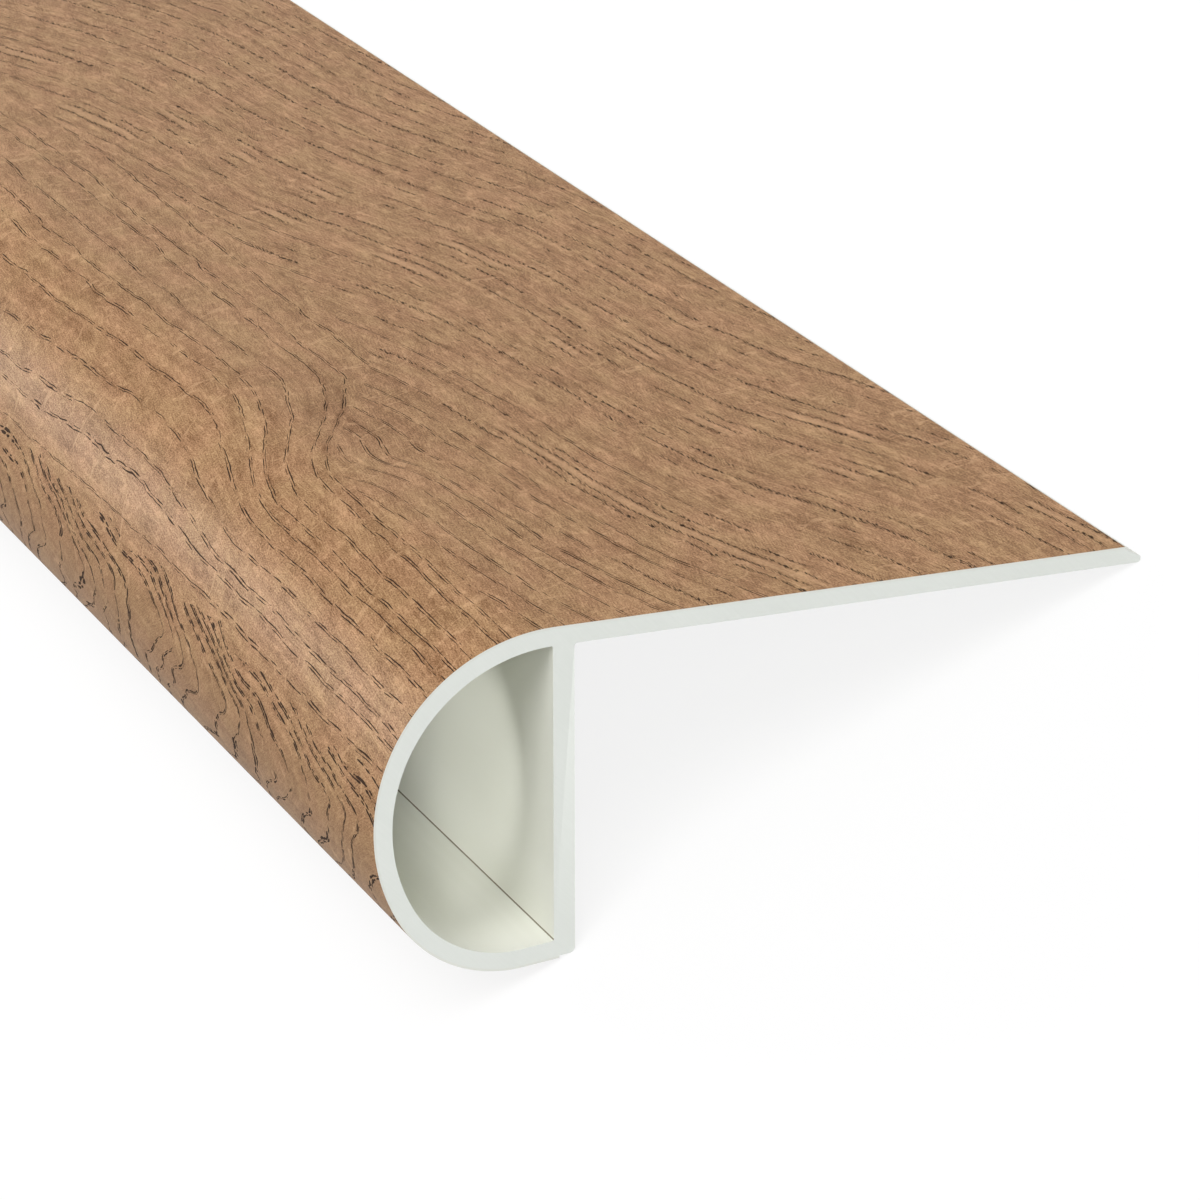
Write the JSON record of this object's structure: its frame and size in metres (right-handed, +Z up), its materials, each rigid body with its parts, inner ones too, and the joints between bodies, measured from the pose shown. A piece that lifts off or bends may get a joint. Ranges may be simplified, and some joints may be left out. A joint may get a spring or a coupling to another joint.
{
  "type": "low profile stair nosing",
  "caption": "Long stair edge moulding: a thin flat deck with a hollow D-shaped nose under its front edge, faced with wood-look film, that finishes and protects the front edge of a step.",
  "frame": {"origin": "middle of the underside of the box that the stock fills as it lies loose on a level floor", "axes": "+Z up; +Y along the stock, away from the cut end that the picture shows; +X from the nose to the deck's rear lip"},
  "size_m": [0.0708, 2.286, 0.0283],
  "materials": {
    "vinyl": "satin rigid vinyl, pale grey-green, as extruded and sawn",
    "wood_film": "satin printed film with open-pored tan oak grain, lightly embossed"
  },
  "bodies": {
    "root": {"profile": "vinyl", "decor_film": "wood_film"}
  },
  "joints": []
}
